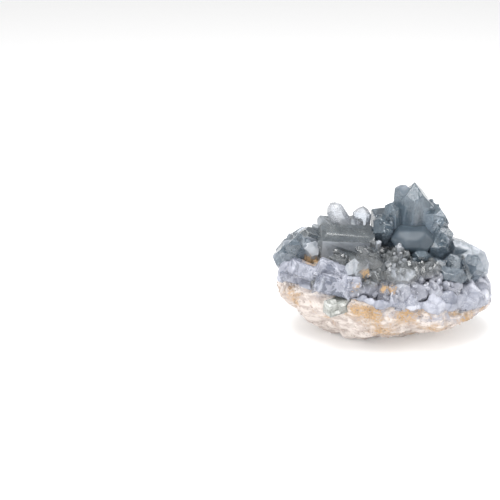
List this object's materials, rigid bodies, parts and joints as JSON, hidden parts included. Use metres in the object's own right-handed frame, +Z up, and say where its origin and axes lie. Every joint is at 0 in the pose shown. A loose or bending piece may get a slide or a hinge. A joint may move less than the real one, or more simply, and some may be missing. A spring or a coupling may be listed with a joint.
{
  "type": "celestite crystal cluster",
  "caption": "Natural cluster of blocky blue-grey celestite crystals on a bowl-shaped lump of pale rind, with a tall peak to one side; rests on its rock base.",
  "frame": {"origin": "on the resting plane, under the middle of the cluster's bounding box", "axes": "+Z up, +X along the length towards the low end with the tall peak nearer to it, -Y out of the front, the side that the picture shows"},
  "size_m": [0.0988, 0.0724, 0.0683],
  "materials": {
    "rock": "granular, cream to pinkish white with ochre patches",
    "blue_celestite": "glossy natural crystal faces, slate blue-grey, cloudy inside",
    "pale_celestite": "satin to glossy crystal faces, milky lavender grey",
    "clear_celestite": "glossy natural crystal faces, colourless with a little cloud",
    "greenish_celestite": "satin crystal faces, milky greenish white"
  },
  "bodies": {
    "root": {"matrix": "rock", "blue_crystals": "blue_celestite", "pale_crust": "pale_celestite", "clear_crystal_left": "clear_celestite", "clear_crystal_right": "clear_celestite", "greenish_crystal": "greenish_celestite"}
  },
  "joints": []
}
